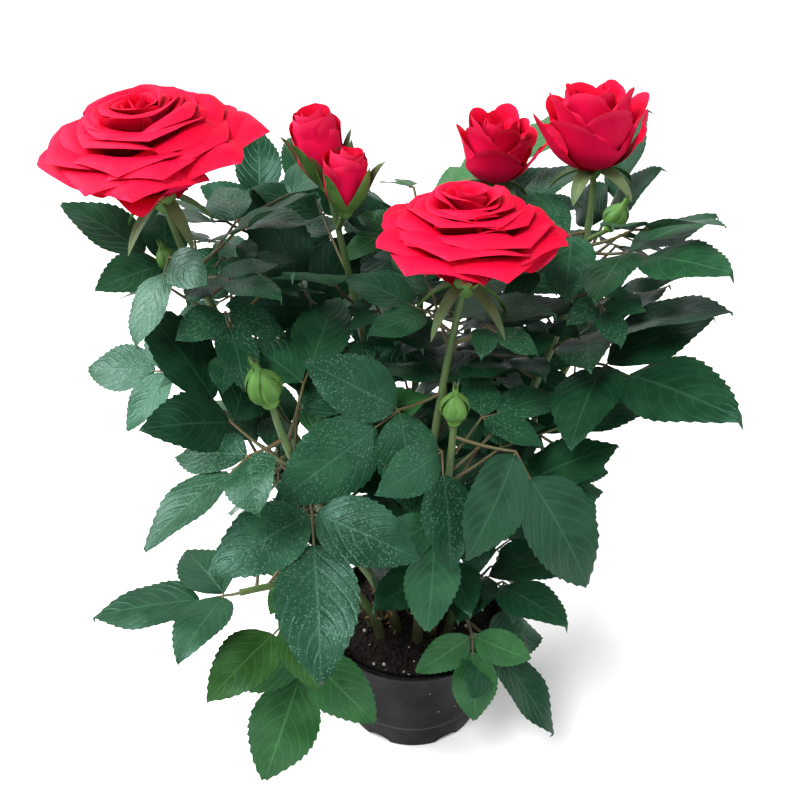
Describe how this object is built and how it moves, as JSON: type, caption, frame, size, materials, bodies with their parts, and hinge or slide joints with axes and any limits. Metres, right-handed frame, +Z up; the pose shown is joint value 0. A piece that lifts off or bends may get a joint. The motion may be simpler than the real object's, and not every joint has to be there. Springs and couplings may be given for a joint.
{
  "type": "potted rose bush",
  "caption": "Compact miniature rose bush in a small round nursery pot, with glossy compound leaves, wide open red blooms, half-open red blooms, red buds and green buds on leafy canes.",
  "frame": {"origin": "centre of the pot's flat underside, on the surface that it stands on", "axes": "+Z up, the front of the plant towards -Y, +X to the viewer's right"},
  "size_m": [0.2759, 0.2262, 0.3109],
  "materials": {
    "pot_plastic": "charcoal-black moulded plastic, slightly scuffed, with a few pale specks",
    "soil": "dark moist potting soil with white perlite grains",
    "cane": "smooth green young bark, browner at the foot, with small prickles",
    "foliage": "glossy deep green leaflets with pale underside, pinnate veins and toothed edges",
    "petal": "velvety crimson petals with lighter edges and green sepals beneath",
    "green_bud": "smooth yellow-green closed bud"
  },
  "bodies": {
    "root": {"pot": "pot_plastic", "soil": "soil", "cane_left_tall": "cane", "leaves_left_tall": "foliage", "cane_front": "cane", "leaves_front": "foliage", "cane_right_tall": "cane", "leaves_right_tall": "foliage", "cane_back_right": "cane", "leaves_back_right": "foliage", "cane_back_left": "cane", "leaves_back_left": "foliage", "cane_left_bud": "cane", "leaves_left_bud": "foliage", "cane_middle_bud": "cane", "leaves_middle_bud": "foliage", "cane_left_low": "cane", "leaves_left_low": "foliage", "cane_right_low": "cane", "leaves_right_low": "foliage", "cane_back": "cane", "leaves_back": "foliage", "cane_back_side": "cane", "leaves_back_side": "foliage", "cane_far_left": "cane", "leaves_far_left": "foliage", "cane_right_side": "cane", "leaves_right_side": "foliage", "cane_left_side": "cane", "leaves_left_side": "foliage", "bloom_left_tall": "petal", "bloom_front": "petal", "bloom_right_tall": "petal", "bloom_back_right": "petal", "bloom_back_left": "petal", "bloom_left_bud": "green_bud", "bloom_middle_bud": "green_bud"}
  },
  "joints": []
}
